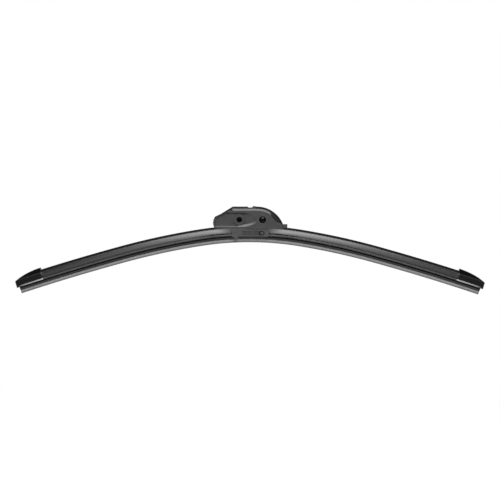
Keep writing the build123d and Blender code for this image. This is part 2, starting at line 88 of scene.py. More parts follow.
# Wiper rubber: the right half of its section from top to bottom, in corners of (across, up, radius)
RUBBER_END = 271.6
RUBBER_HEAD = ((2.2, 1.95, 0.3), (2.2, GROOVE_HALF, 0))
RUBBER_WEB = ((1.15, GROOVE_HALF, 0), (1.15, -GROOVE_HALF, 0))
RUBBER_SHOULDER = ((3.5, -GROOVE_HALF, 0.2), (3.5, -1.75, 0.3))
RUBBER_NECK = ((0.55, -1.75, 0.15), (0.55, -2.55, 0.15))
RUBBER_WEDGE = ((2.4, -2.55, 0.2), (2.4, -3.15, 0.2))
RUBBER_LIP = ((0.45, -5.3, 0.6), (0.33, -9.2, 0.08))

# End caps: pairs are at the inner end and at the tip
CAP_LENGTH = 32.4
CAP_START = BLADE_LENGTH / 2 - CAP_LENGTH
CAP_STEP = 1.5
CAP_CREASE_ANGLE = 30
CAP_HEIGHTS = (12.4, 7.3)
CAP_RIDGE_HALVES = (2.1, 3.5)
CAP_CROWNS = (0.5, 0.3)
CAP_SIDES = (7.45, 6.15)
CAP_CREASE = 6.6
CAP_WALL = 1.1
CAP_LEDGE = 0.5
CAP_LIP = 0.32
CAP_LEDGE_TOP = -0.2
CAP_BOTTOM = -1.3
CAP_CROWN_ROUND = 1.5
CAP_RIDGE_ROUND = 0.9
CAP_CREASE_ROUND = 2.5
CAP_LEDGE_ROUND = 0.15
CAP_BOTTOM_ROUND = 0.1
CAP_LEAN = 2.0
CAP_WAIST = 2.6
CAP_FLARE = 0.7
CAP_EDGE = 0.2
CAP_EDGE_TURNS = (0.0, 30.0, 60.0, 90.0)
CAP_TIP_EDGE = 0.2
CAP_TIP_START = 0.5
CAP_TIP_DROP = 0.8
CAP_OVERLAP = 10.3
CAP_FIT = 0.2
CAP_FOOT = 0.4
CAP_END_WALL = 2.2

# Rivet: each head is domed, and its rim is rounded by drops of (radius, drop)
PIVOT_X = 26.5
RIVET_SHANK = 2.75
RIVET_HEAD = 3.9
RIVET_SEAT = 6.7
RIVET_HEAD_TOP = 8.7
RIVET_DOME = 0.9
RIVET_RIM = (
    (0.0, 0.0),
    (0.8, 0.0),
    (1.6, 0.0),
    (2.4, 0.0),
    (3.1, 0.03),
    (3.6, 0.1),
    (3.85, 0.25),
    (3.9, 0.4),
)
RIVET_SIDES = 48

# Base, adapter and cover: copies of the solids with rounded edges. Points this close are one, and
# bends count as flat or as edges by their angle.
WELD_DISTANCE = 0.002
FLAT_ANGLE = 0.5
EDGE_ANGLE = 25
EDGE_SEGMENTS = 2
EDGE_PROFILE = 0.5
MOULDING_CREASE_ANGLE = 9
BASE_EDGE = 0.04
ADAPTER_EDGE = 0.05
COVER_EDGE = 0.12

# Looks: painted shade in seams and inner corners, by how open the surface is
PAINTED_SHADE_REACH = 2.0
PAINTED_SHADE_REACH_BASE = 3.0
PAINTED_SHADE_SAMPLES = 8
PAINTED_SHADE_RANGE = (0.4, 0.9)
PAINTED_SHADE_DARKEST = 0.1

# Looks: the mottle and grain of mouldings, the upward lean of faces that get painted top shade, and
# the die lines of what is extruded. Noise scales are for metres.
MOTTLE_SCALE = 180.0
MOTTLE_DETAIL = 4.0
MOTTLE_RANGE = (0.3, 0.7)
GRAIN_DETAIL = 3.0
PAINTED_TOP_SHADE_FACES = (0.4, 0.46)
DIE_LINE_SCALE = (6.0, 3000.0, 1.0)
DIE_LINE_DETAIL = 3.0
DIE_LINE_SHADES = ((0.3, 0.85), (0.7, 1.15))

# Looks: stops of (height, grey) for colours up a section, which hold painted light and shade
# The lip is a lighter graphite grey than the black head, with a painted highlight band across its
# middle.
RUBBER_GREYS_AND_PAINTED_BAND = (
    (-9.2, 0.16),
    (-8.2, 0.18),
    (-7.4, 0.26),
    (-6.9, 0.39),
    (-6.2, 0.39),
    (-5.5, 0.22),
    (-5.25, 0.015),
    (0.0, 0.01),
)
# A fin is one black elastomer: the lighter flange face is painted light, and the darker foot band
# and the land below the crest are painted shade.
FIN_PAINTED_LIGHT_AND_SHADE = (
    (-1.3, 0.012),
    (-0.95, 0.012),
    (-0.8, 0.085),
    (0.3, 0.085),
    (0.5, 0.008),
    (1.0, 0.008),
    (1.3, 0.018),
    (7.0, 0.013),
    (7.4, 0.005),
    (10.0, 0.005),
)
# Painted highlight along the cap's crease, and painted shade on its upper faces, which stay black
# while its sides are a little greyer.
CAP_PAINTED_SHEEN_AND_SHADE = ((-1.3, 0.008), (6.0, 0.008), (6.5, 0.024), (6.9, 0.024), (7.4, 0.0), (12.4, 0.0))
# A painted highlight along the cap's ledge, fading towards the tip.
CAP_PAINTED_LEDGE_HIGHLIGHT = ((-1.3, 0.45), (0.1, 0.45), (0.3, 0.0), (0.5, 0.0))

# Looks: stops of (share of the way from the inner end, strength) along a fin or cap, among them
# painted shade next to the base and a painted highlight along a cap's ledge
CAP_PAINTED_LEDGE_HIGHLIGHT_FADE = ((0.0, 1.0), (0.15, 0.8), (0.7, 0.5), (0.85, 0.0))
FIN_PAINTED_BASE_SHADE = ((0.0, 0.5), (0.1, 0.65), (0.2, 1.0))
FIN_DULLED = ((0.0, 0.65), (0.03, 0.5), (0.06, 0.33), (0.1, 0.1))
FIN_FOOT_FADE = ((0.0, 1.0), (0.08, 1.0), (0.16, 0.0))

# Looks: stops of (height, strength) for a fin's roughness, and for the polish of its foot
FIN_SPREAD = ((0.5, 1.0), (1.0, 1.6), (3.0, 1.6), (5.5, 1.0))
FIN_FOOT = ((0.35, 0.0), (0.4, 0.9), (1.6, 0.9), (2.1, 0.0))

# Looks: painted shade on the base's panel floors by (distance across, shade), and on the adapter's
# back and under faces, which are also dulled. What lies behind the pin is told by a slanting
# direction, and faces by how far they look up.
PAINTED_PANEL_SHADE = ((6.2, 0.7), (6.5, 1.0))
BACK_SLANT = (1.0, 0.0, 0.36)
BACK_FADE = ((-5.0, 1.0), (-2.0, 0.0))
BACK_FACES = ((0.1, 0.0), (0.2, 1.0))
BACK_DULLED = ((-7.7, 0.5), (-7.2, 0.95), (12.0, 0.95))
PAINTED_BACK_RIM_SHADE = ((-6.0, 0.0), (0.0, 0.95))
PAINTED_UNDER_SHADE = ((-0.4, 0.1), (-0.25, 1.0))
UNDER_DULLED = ((-0.4, 0.95), (-0.25, 0.1))

# Photograph: the arm-pin hole and the middle of the frame in its pixels, and its scale. The roll
# is in radians.
PHOTO_PIN = (239.3, 219.5)
PHOTO_MIDDLE = (250.0, 250.0)
MM_PER_PIXEL = 1.143
PHOTO_PIXELS = 500
CAMERA_DISTANCE = 2200.0
CAMERA_ELEVATION = 2.5
CAMERA_ROLL = 0.0027
CAMERA_CLIP = 50000.0
SENSOR_WIDTH = 36.0

# Studio: a pale floor, a white backdrop behind, a dim room in front, and a softbox
FLOOR_Z = -360.0
FLOOR_RADIUS = 3000.0
FLOOR_SIDES = 96
FLOOR_FRONT = 500.0
FLOOR_NEAR = 700.0
FLOOR_FAR = 1500.0
FLOOR_GREY = 0.8
FLOOR_ROUGHNESS = 0.9
FLOOR_LIFT = 0.62
BACKDROP_SIDE = 0.1
BACKDROP_TOP = (0.35, 0.2)
ROOM_GREY = 0.05
AMBIENT_GREY = 0.3
LIGHT_TARGET = (20.0, 0.0, -20.0)
KEY_PLACE = (40.0, -730.0, 915.0)
KEY_SIZE = (750.0, 1650.0)
KEY_WATTS = 22.0

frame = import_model()


def blade_point(s, across, up):
    """Place of a section's point at arc length s, in metres."""
    x, z, angle, start = 0.0, 0.0, 0.0, 0.0
    for end, radius in zip(ARC_ENDS, ARC_RADII):
        turn = max(0.0, min(abs(s), end) - start) / radius
        x += radius * (math.sin(angle + turn) - math.sin(angle))
        z += radius * (math.cos(angle + turn) - math.cos(angle))
        angle += turn
        start = end
    side = math.copysign(1.0, s)
    x += math.sin(angle) * up
    z += math.cos(angle) * up
    return Vector((BLADE_OFFSET + side * x, across, z - BLADE_DROP)) * MM


def stations(start, end, step=STATION_STEP):
    """Evenly spaced arc lengths, about a step apart."""
    count = max(1, round(abs(end - start) / step))
    return [start + (end - start) * i / count for i in range(count + 1)]


def rounded(corners):
    """Closed outline through (across, up, radius) corners, each rounded by its radius."""
    outline = []
    for i, (x, y, radius) in enumerate(corners):
        here = Vector((x, y))
        if not radius:
            outline.append(here)
            continue
        before = (Vector(corners[i - 1][:2]) - here).normalized()
        after = (Vector(corners[(i + 1) % len(corners)][:2]) - here).normalized()
        half = before.angle(after) / 2
        reach = radius / math.tan(half)
        centre = here + (before + after).normalized() * radius / math.sin(half)
        first, last = here + before * reach - centre, here + after * reach - centre
        turn = first.angle_signed(last)
        for k in range(CORNER_STEPS + 1):
            outline.append(centre + Matrix.Rotation(-turn * k / CORNER_STEPS, 2) @ first)
    return outline


def symmetric(half):
    """Corners of a whole section from those of its right half, listed from top to bottom."""
    return half + [(-x, y, radius) for x, y, radius in reversed(half)]


def new_object(name, mesh_data, material):
    obj = bpy.data.objects.new(name, mesh_data)
    bpy.context.scene.collection.objects.link(obj)
    obj.data.materials.clear()
    obj.data.materials.append(material)
    return obj


def new_mesh(name, bm):
    """A mesh from a bmesh, which is freed."""
    mesh_data = bpy.data.meshes.new(name)
    bm.to_mesh(mesh_data)
    bm.free()
    return mesh_data


def smooth(mesh_data, angle=CREASE_ANGLE):
    """Shades a mesh smooth, but for bends sharper than an angle."""
    mesh_data.shade_smooth()
    mesh_data.set_sharp_from_angle(angle=math.radians(angle))


def lofted(name, rows):
    """Closed mesh through rows of (arc length, outline), where the arc length can be a function of
    the height. One UV layer has arc length and girth, the other how far along the rows and how
    high up a point is."""
    bm = bmesh.new()
    uv = bm.loops.layers.uv.new("UVMap")
    profile = bm.loops.layers.uv.new("profile")
    rings = []
    for i, (arc, outline) in enumerate(rows):
        ring = []
        for across, up in outline:
            s = arc(up) if callable(arc) else arc
            ring.append((bm.verts.new(blade_point(s, across, up)), s, (i / (len(rows) - 1), up)))
        rings.append(ring)
    girth = [0.0]
    first = rows[0][1]
    for i in range(len(first)):
        girth.append(girth[-1] + (first[(i + 1) % len(first)] - first[i]).length)
    for near, far in zip(rings, rings[1:]):
        for i in range(len(near)):
            j = (i + 1) % len(near)
            quad = [
                (near[i], girth[i]),
                (near[j], girth[i + 1]),
                (far[j], girth[i + 1]),
                (far[i], girth[i]),
            ]
            face = bm.faces.new([vert for (vert, s, level), g in quad])
            for loop, ((vert, s, level), g) in zip(face.loops, quad):
                loop[uv].uv = (s * MM, g * MM)
                loop[profile].uv = level
    for ring in (rings[0], rings[-1]):
        face = bm.faces.new([vert for vert, s, level in ring])
        for loop, (vert, s, level) in zip(face.loops, ring):
            loop[profile].uv = level
    bmesh.ops.recalc_face_normals(bm, faces=bm.faces)
    return new_mesh(name, bm)


def swept(name, corners, start, end):
    """Closed mesh of one section along the blade's curve."""
    outline = rounded(corners)
    return lofted(name, [(s, outline) for s in stations(start, end)])


def new_material(name):
    """A new material with its node tree and main shader."""
    material = bpy.data.materials.new(name)
    material.use_nodes = True
    tree = material.node_tree
    return material, tree, tree.nodes["Principled BSDF"]


def feed(tree, value, socket):
    """Links a socket to another, or sets it to a value."""
    if isinstance(value, bpy.types.NodeSocket):
        tree.links.new(value, socket)
    else:
        socket.default_value = value


def add(tree, kind, **settings):
    """Adds a node. A setting that names an input socket feeds it, and any other sets a property."""
    node = tree.nodes.new(kind)
    for key, value in settings.items():
        socket = key.replace("_", " ").title()
        if socket in node.inputs:
            feed(tree, value, node.inputs[socket])
        else:
            setattr(node, key, value)
    return node


def maths(tree, operation, *values):
    node = add(tree, "ShaderNodeMath", operation=operation)
    for value, socket in zip(values, node.inputs):
        feed(tree, value, socket)
    return node.outputs[0]


def larger(tree, first, second):
    return maths(tree, "MAXIMUM", first, second)


def inverse(tree, value):
    return maths(tree, "SUBTRACT", 1.0, value)


def remapped(tree, value, **ends):
    """A value moved from one range to another and kept within it. Ends not given are 0 and 1."""
    return add(tree, "ShaderNodeMapRange", value=value, **ends).outputs["Result"]


def axes(tree, vector):
    return add(tree, "ShaderNodeSeparateXYZ", vector=vector).outputs


def noise(tree, vector, scale, detail):
    return add(tree, "ShaderNodeTexNoise", vector=vector, scale=scale, detail=detail).outputs["Fac"]


def grey(value):
    return (value, value, value, 1.0)


def ramp(tree, factor, *stops):
    """Colour ramp through (position, grey) stops."""
    node = add(tree, "ShaderNodeValToRGB", fac=factor)
    elements = node.color_ramp.elements
    while len(elements) < len(stops):
        elements.new(0.5)
    for element, (position, value) in zip(elements, stops):
        element.position = position
        element.color = grey(value)
    return node.outputs["Color"]


def banded(tree, value, stops):
    """Grey through (value, grey) stops."""
    low, high = stops[0][0], stops[-1][0]
    level = remapped(tree, value, from_min=low, from_max=high)
    return ramp(tree, level, *(((at - low) / (high - low), shade) for at, shade in stops))


def tinted(tree, colour, factor, blend="MULTIPLY"):
    """A colour times or plus a grey or a value."""
    mix = add(tree, "ShaderNodeMix", data_type="RGBA", blend_type=blend)
    mix.inputs["Factor"].default_value = 1.0
    tree.links.new(colour, mix.inputs["A"])
    tree.links.new(factor, mix.inputs["B"])
    return mix.outputs["Result"]


def painted_crevice_shade(tree, reach):
    """Painted shade: 1 on open faces, less in seams and inner corners, which are painted dark."""
    sky = add(tree, "ShaderNodeAmbientOcclusion", samples=PAINTED_SHADE_SAMPLES, distance=reach * MM)
    low, high = PAINTED_SHADE_RANGE
    return remapped(tree, sky.outputs["AO"], from_min=low, from_max=high, to_min=PAINTED_SHADE_DARKEST)


def along_section(tree):
    """How far along a lofted piece, from 0 to 1, and how high up its section a point is."""
    parts = axes(tree, add(tree, "ShaderNodeUVMap", uv_map="profile").outputs["UV"])
    return parts["X"], parts["Y"]


def position(tree):
    """Place on the piece in millimetres."""
    spot = add(tree, "ShaderNodeTexCoord").outputs["Object"]
    return add(tree, "ShaderNodeMapping", vector=spot, scale=(1 / MM,) * 3).outputs["Vector"]


def facing_up(tree):
    """How far a face looks up, from -1 to 1."""
    return axes(tree, add(tree, "ShaderNodeTexCoord").outputs["Normal"])["Z"]


def surface(tree):
    """What feeds a material's colour and its roughness."""
    inputs = tree.nodes["Principled BSDF"].inputs
    return inputs["Base Color"].links[0].from_socket, inputs["Roughness"].links[0].from_socket


def resurface(tree, colour, roughness):
    """Feeds a material's colour and its roughness."""
    inputs = tree.nodes["Principled BSDF"].inputs
    tree.links.new(colour, inputs["Base Color"])
    tree.links.new(roughness, inputs["Roughness"])


def relief(tree, shader, height, depth):
    bump = add(tree, "ShaderNodeBump", height=height, strength=1.0, distance=depth * MM)
    tree.links.new(bump.outputs["Normal"], shader.inputs["Normal"])


def moulded(name, greys, roughness, specular, grain, depth, reach=PAINTED_SHADE_REACH, painted_top_shade_and_gloss=None):
    """Moulded plastic or coated steel: mottled colour, uneven gloss, a fine grain and painted shade
    in inner corners. Faces that look up can have a painted shade and a roughness of their own."""
    material, tree, shader = new_material(name)
    spot = add(tree, "ShaderNodeTexCoord").outputs["Object"]
    mottle = noise(tree, spot, MOTTLE_SCALE, MOTTLE_DETAIL)
    # The colour is darkened by painted shade in seams and inner corners.
    colour = tinted(tree, ramp(tree, mottle, *zip(MOTTLE_RANGE, greys)), painted_crevice_shade(tree, reach))
    gloss = remapped(tree, mottle, to_min=roughness[0], to_max=roughness[1])
    # Faces that look up get painted shade on their colour, and a roughness of their own.
    if painted_top_shade_and_gloss:
        up = facing_up(tree)
        low, high = PAINTED_TOP_SHADE_FACES
        colour = tinted(tree, colour, banded(tree, up, ((low, 1.0), (high, painted_top_shade_and_gloss[0]))))
        gloss = larger(tree, gloss, remapped(tree, up, from_min=low, from_max=high, to_max=painted_top_shade_and_gloss[1]))
    resurface(tree, colour, gloss)
    relief(tree, shader, noise(tree, spot, grain, GRAIN_DETAIL), depth)
    shader.inputs["Specular IOR Level"].default_value = specular
    return material


def extruded(name, stops, roughness, specular, depth):
    """Extruded elastomer with fine die lines along its length, coloured by (height, grey) stops,
    with painted shade in its seams and inner corners.
    """
    material, tree, shader = new_material(name)
    unrolled = add(tree, "ShaderNodeUVMap", uv_map="UVMap").outputs["UV"]
    along = add(tree, "ShaderNodeMapping", vector=unrolled, scale=DIE_LINE_SCALE).outputs["Vector"]
    streak = noise(tree, along, 1.0, DIE_LINE_DETAIL)
    height = along_section(tree)[1]
    colour = tinted(tree, banded(tree, height, stops), ramp(tree, streak, *DIE_LINE_SHADES))
    gloss = remapped(tree, streak, to_min=roughness[0], to_max=roughness[1])
    # The colour is darkened by painted shade in seams and inner corners.
    resurface(tree, tinted(tree, colour, painted_crevice_shade(tree, PAINTED_SHADE_REACH)), gloss)
    relief(tree, shader, streak, depth)
    shader.inputs["Specular IOR Level"].default_value = specular
    return material


def fin_elastomer():
    """Elastomer that is rougher low on its flanks. Next to the base it is rougher and has painted
    shade, with a polished foot."""
    material = extruded(
        "spoiler_elastomer_look", FIN_PAINTED_LIGHT_AND_SHADE, roughness=(0.22, 0.3), specular=0.85, depth=0.0012
    )
    tree = material.node_tree
    colour, gloss = surface(tree)
    part, height = along_section(tree)
    gloss = tinted(tree, gloss, banded(tree, height, FIN_SPREAD))
    gloss = larger(tree, gloss, banded(tree, part, FIN_DULLED))
    polish = tinted(tree, banded(tree, height, FIN_FOOT), banded(tree, part, FIN_FOOT_FADE))
    gloss = tinted(tree, gloss, inverse(tree, polish))
    # The colour next to the base is darkened: painted shade.
    resurface(tree, tinted(tree, colour, banded(tree, part, FIN_PAINTED_BASE_SHADE)), gloss)
    return material


def base_plastic():
    """Fine-grained plastic, with painted shade on the floors of the side panels."""
    material = moulded(
        "base_plastic_look",
        greys=(0.055, 0.07),
        roughness=(0.45, 0.6),
        specular=0.4,
        grain=2600.0,
        depth=0.014,
        # The base's painted shade reaches further into its seams.
        reach=PAINTED_SHADE_REACH_BASE,
    )
    tree = material.node_tree
    colour, gloss = surface(tree)
    across = maths(tree, "ABSOLUTE", axes(tree, position(tree))["Y"])
    # The recessed panel floors get painted shade.
    resurface(tree, tinted(tree, colour, banded(tree, across, PAINTED_PANEL_SHADE)), gloss)
    return material


def cap_plastic():
    """Glossy black plastic with painted shade on its upper faces, so a little greyer below its
    crease, and painted highlights along its crease and its ledge.
    """
    material = moulded(
        "cap_plastic_look",
        greys=(0.002, 0.004),
        roughness=(0.14, 0.2),
        specular=0.4,
        grain=700.0,
        depth=0.002,
    )
    tree = material.node_tree
    colour, gloss = surface(tree)
    part, height = along_section(tree)
    # A painted highlight along the ledge, fading towards the tip.
    painted_ledge_highlight = tinted(tree, banded(tree, height, CAP_PAINTED_LEDGE_HIGHLIGHT), banded(tree, part, CAP_PAINTED_LEDGE_HIGHLIGHT_FADE))
    for layer in (banded(tree, height, CAP_PAINTED_SHEEN_AND_SHADE), painted_ledge_highlight):
        colour = tinted(tree, colour, layer, "ADD")
    resurface(tree, colour, gloss)
    return material


def adapter_plastic():
    """Satin plastic with painted shade on faces that look down. Behind the pin, the rim has painted
    shade, and the rim and the recess's lower wall are dull, but for a line along that wall's outer
    edge."""
    material = moulded(
        "adapter_plastic_look",
        greys=(0.038, 0.048),
        roughness=(0.34, 0.42),
        specular=0.68,
        grain=2600.0,
        depth=0.014,
        # The adapter's faces that look up are painted much darker: painted shade.
        painted_top_shade_and_gloss=(0.1, 0.9),
    )
    tree = material.node_tree
    colour, gloss = surface(tree)
    facing = facing_up(tree)
    spot = position(tree)
    slant = add(tree, "ShaderNodeVectorMath", operation="DOT_PRODUCT", vector=spot)
    slant.inputs[1].default_value = BACK_SLANT
    height = axes(tree, spot)["Z"]
    fade = banded(tree, slant.outputs["Value"], BACK_FADE)
    behind = tinted(tree, fade, banded(tree, facing, BACK_FACES))
    # Painted shade on the upper rim behind the pin.
    rim = tinted(tree, banded(tree, height, PAINTED_BACK_RIM_SHADE), behind)
    back = tinted(tree, banded(tree, height, BACK_DULLED), behind)
    for dull in (back, banded(tree, facing, UNDER_DULLED)):
        gloss = larger(tree, gloss, dull)
    # The colour takes painted shade on faces that look down and on the back rim.
    for shade in (banded(tree, facing, PAINTED_UNDER_SHADE), inverse(tree, rim)):
        colour = tinted(tree, colour, shade)
    resurface(tree, colour, gloss)
    return material


LOOKS = {
    "spring_steel": moulded(
        "spring_steel_look",
        greys=(0.012, 0.02),
        roughness=(0.3, 0.45),
        specular=0.4,
        grain=3000.0,
        depth=0.004,
    ),
    "cap_plastic": cap_plastic(),
    "base_plastic": base_plastic(),
    "rivet_steel": moulded(
        "rivet_steel_look",
        greys=(0.003, 0.005),
        roughness=(0.1, 0.14),
        specular=0.2,
        grain=1500.0,
        depth=0.002,
    ),
    "adapter_plastic": adapter_plastic(),
    "cover_plastic": moulded(
        "cover_plastic_look",
        greys=(0.007, 0.01),
        roughness=(0.45, 0.55),
        specular=0.25,
        grain=2600.0,
        depth=0.008,
        # The cover's faces that look up are painted darker: painted shade.
        painted_top_shade_and_gloss=(0.5, 0.8),
    ),
    "spoiler_elastomer": fin_elastomer(),
    "squeegee_rubber": extruded(
        "squeegee_rubber_look", RUBBER_GREYS_AND_PAINTED_BAND, roughness=(0.42, 0.58), specular=0.3, depth=0.01
    ),
}


def stand_for(obj, body, slot, *nodes):
    """Puts a piece on a body, in the place of CAD nodes."""
    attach(obj, body)
    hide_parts(*nodes)


def squeegee():
    half = [*RUBBER_HEAD, *RUBBER_WEB, *RUBBER_SHOULDER, *RUBBER_NECK, *RUBBER_WEDGE, *RUBBER_LIP]
    mesh_data = swept("squeegee", symmetric(half), -RUBBER_END, RUBBER_END)
    smooth(mesh_data)
    obj = new_object("squeegee", mesh_data, LOOKS["squeegee_rubber"])
    stand_for(obj, "blade", "squeegee_rubber", "wiper_rubber")


def spoiler_corners():
    """Section of a spoiler, with a hollow flank between the land below the crest and the flange."""
    top = Vector((FIN_HALF, SPOILER_TOP - FIN_LAND))
    foot = Vector((FLANGE_HALF, FLANGE_TOP))
    chord = foot - top
    inward = Vector((chord.y, -chord.x)).normalized()
    flank = []
    for i in range(1, FLANK_STEPS):
        t = i / FLANK_STEPS
        point = top + chord * t + inward * FLANK_HOLLOW * 4 * t * (1 - t)
        flank.append((point.x, point.y, 0))
    half = [
        (FIN_HALF, SPOILER_TOP, FIN_CREST),
        (*top, FIN_BEND),
        *flank,
        (*foot, FLANGE_EDGE),
        (FLANGE_HALF, -CLAW_BOTTOM, CLAW_EDGES[0]),
        (CLAW_IN, -CLAW_BOTTOM, CLAW_EDGES[1]),
        (CLAW_IN, -GROOVE_HALF, 0),
        (GROOVE_OUT, -GROOVE_HALF, 0),
        (GROOVE_OUT, GROOVE_HALF, 0),
        (CHANNEL_HALF, GROOVE_HALF, 0),
        (CHANNEL_HALF, CHANNEL_TOP, 0),
    ]
    return symmetric(half)


def spoiler(side, sign):
    name = f"spoiler_fin_{side}"
    mesh_data = swept(name, spoiler_corners(), sign * BASE_HALF_LENGTH, sign * SPOILER_END)
    smooth(mesh_data, FIN_CREASE_ANGLE)
    obj = new_object(name, mesh_data, LOOKS["spoiler_elastomer"])
    stand_for(obj, "blade", "spoiler_elastomer", f"spoiler_{side}")
    return obj


def merge(mesh_data, other):
    """Adds a second closed mesh to the first."""
    bm = bmesh.new()
    bm.from_mesh(mesh_data)
    bm.from_mesh(other)
    bm.to_mesh(mesh_data)
    bm.free()
    bpy.data.meshes.remove(other)


def cut(target, cutters):
    """Takes closed meshes out of an object's mesh."""
    for cutter in cutters:
        tool = new_object("cutter", cutter, LOOKS["cap_plastic"])
        modifier = target.modifiers.new("cut", "BOOLEAN")
        modifier.object = tool
        modifier.solver = "EXACT"
        depsgraph = bpy.context.evaluated_depsgraph_get()
        result = bpy.data.meshes.new_from_object(target.evaluated_get(depsgraph))
        target.modifiers.clear()
        target.data = result
        bpy.data.objects.remove(tool)


def cap_outline(part, inset):
    """Section of a cap part of the way to its tip, drawn in by an inset where an end is rounded."""

    def blend(pair):
        return pair[0] + (pair[1] - pair[0]) * part**2

    pairs = (CAP_SIDES, CAP_HEIGHTS, CAP_RIDGE_HALVES)
    side, ridge, ridge_half = (blend(pair) - inset for pair in pairs)
    ridge -= CAP_TIP_DROP * max(0.0, part - CAP_TIP_START) ** 2 / (1 - CAP_TIP_START) ** 2
    half = [
        (ridge_half, ridge - blend(CAP_CROWNS), CAP_RIDGE_ROUND),
        (side - CAP_WALL / 2, CAP_CREASE, CAP_CREASE_ROUND),
        (side, CAP_LEDGE_TOP, CAP_LEDGE_ROUND),
        (side + CAP_LIP, CAP_LEDGE_TOP - CAP_LIP, CAP_LEDGE_ROUND),
        (side + CAP_LEDGE, CAP_BOTTOM, CAP_BOTTOM_ROUND),
    ]
    return rounded([(0, ridge, CAP_CROWN_ROUND)] + symmetric(half))


def cap_lean(up):
    """How far the cap's inner edge lies behind the ridge's end at a height."""
    if up > CAP_WAIST:
        return CAP_LEAN * max(0.0, CAP_HEIGHTS[0] - up) / (CAP_HEIGHTS[0] - CAP_WAIST)
    return CAP_FLARE + (CAP_LEAN - CAP_FLARE) * max(0.0, up) / CAP_WAIST


def cap_stops():
    """Distances along a cap with its section's inset at each, so that both ends are rounded."""

    def rounding(radius):
        turns = [math.radians(turn) for turn in CAP_EDGE_TURNS]
        return [(radius * (1 - math.cos(turn)), radius * (1 - math.sin(turn))) for turn in turns]

    spans = stations(CAP_EDGE, CAP_LENGTH - CAP_TIP_EDGE, CAP_STEP)
    middle = [(along, 0.0) for along in spans[1:-1]]
    tip = [(CAP_LENGTH - off, inset) for off, inset in reversed(rounding(CAP_TIP_EDGE))]
    return rounding(CAP_EDGE) + middle + tip


def cap_shell(name, sign):
    """A cap's outside, with an inner edge that leans."""

    def arc_at(part):
        def arc(up):
            lean = cap_lean(up)
            return sign * (CAP_START + lean + part * (CAP_LENGTH - lean))

        return arc

    rows = []
    for along, inset in cap_stops():
        part = along / CAP_LENGTH
        rows.append((arc_at(part), cap_outline(part, inset)))
    return lofted(name, rows)


def end_cap(side, sign):
    """A cap with a pocket for the spoiler's end, a throat for rails and rubber, and a foot."""
    obj = new_object(f"tip_cap_{side}", cap_shell(f"tip_cap_{side}", sign), LOOKS["cap_plastic"])
    inside = FLANGE_HALF + CAP_FIT
    below = 2 * CAP_BOTTOM
    pocket = [
        (FIN_HALF + CAP_FIT, SPOILER_TOP + CAP_FIT, 0),
        (FIN_HALF + CAP_FIT, SPOILER_TOP - FIN_LAND, 0),
        (inside, FLANGE_TOP + CAP_FIT, 0),
        (inside, below, 0),
    ]
    throat = [(THROAT_HALF, CHANNEL_TOP, 0), (THROAT_HALF, below, 0)]
    mouth = sign * (CAP_START - CAP_LEAN)
    wall = BLADE_LENGTH / 2 - CAP_END_WALL
    ends = ((pocket, CAP_START + CAP_OVERLAP), (throat, wall))
    cut(obj, [swept("cutter", symmetric(half), mouth, sign * end) for half, end in ends])
    foot = CAP_SIDES[1] - CAP_EDGE
    block = symmetric([(foot, CAP_LEDGE_TOP, 0), (foot, CAP_BOTTOM - CAP_FOOT, CAP_EDGE)])
    merge(obj.data, swept("foot", block, sign * wall, sign * (BLADE_LENGTH / 2 - CAP_EDGE)))
    smooth(obj.data, CAP_CREASE_ANGLE)
    stand_for(obj, "blade", "cap_plastic", f"end_cap_{side}")


def dressed(node, name, body, slot, edge):
    """A copy of a solid with its sharp edges rounded, which stands for it."""
    bm = bmesh.new()
    bm.from_mesh(frame["nodes"][node].data)
    bmesh.ops.remove_doubles(bm, verts=bm.verts, dist=WELD_DISTANCE * MM)
    flat, sharp = math.radians(FLAT_ANGLE), math.radians(EDGE_ANGLE)
    bmesh.ops.dissolve_limit(bm, angle_limit=flat, verts=bm.verts, edges=bm.edges)
    bmesh.ops.bevel(
        bm,
        geom=[e for e in bm.edges if e.is_manifold and e.calc_face_angle(0.0) > sharp],
        offset=edge * MM,
        offset_type="OFFSET",
        segments=EDGE_SEGMENTS,
        profile=EDGE_PROFILE,
        affect="EDGES",
        clamp_overlap=False,
    )
    mesh_data = new_mesh(name, bm)
    smooth(mesh_data, MOULDING_CREASE_ANGLE)
    obj = new_object(name, mesh_data, LOOKS[slot])
    obj.modifiers.new("normals", "WEIGHTED_NORMAL").keep_sharp = True
    stand_for(obj, body, slot, node)
    return obj


def rivet():
    """The rivet, turned, with a low dome on each head."""
    profile = []
    for r, drop in RIVET_RIM:
        profile.append((r, RIVET_HEAD_TOP - RIVET_DOME * (r / RIVET_HEAD) ** 2 - drop))
    profile += [(RIVET_HEAD, RIVET_SEAT), (RIVET_SHANK, RIVET_SEAT)]
    profile += [(r, -along) for r, along in reversed(profile)]
    bm = bmesh.new()
    rings = []
    for r, along in profile:
        ring = []
        for i in range(RIVET_SIDES if r else 1):
            turn = math.tau * i / RIVET_SIDES
            spot = Vector((PIVOT_X + r * math.cos(turn), along, r * math.sin(turn)))
            ring.append(bm.verts.new(spot * MM))
        rings.append(ring)
    for near, far in zip(rings, rings[1:]):
        for i in range(RIVET_SIDES):
            pairs = [(ring[i % len(ring)], ring[(i + 1) % len(ring)]) for ring in (near, far)]
            bm.faces.new(dict.fromkeys((*pairs[0], *reversed(pairs[1]))))
    bmesh.ops.recalc_face_normals(bm, faces=bm.faces)
    mesh_data = new_mesh("rivet", bm)
    smooth(mesh_data)
    obj = new_object("rivet", mesh_data, LOOKS["rivet_steel"])
    stand_for(obj, "blade", "rivet_steel", "pivot_rivet")


def paint(node, slot):
    """Gives a solid that stays as it is its finished material."""
    frame["nodes"][node].material_slots[0].material = LOOKS[slot]


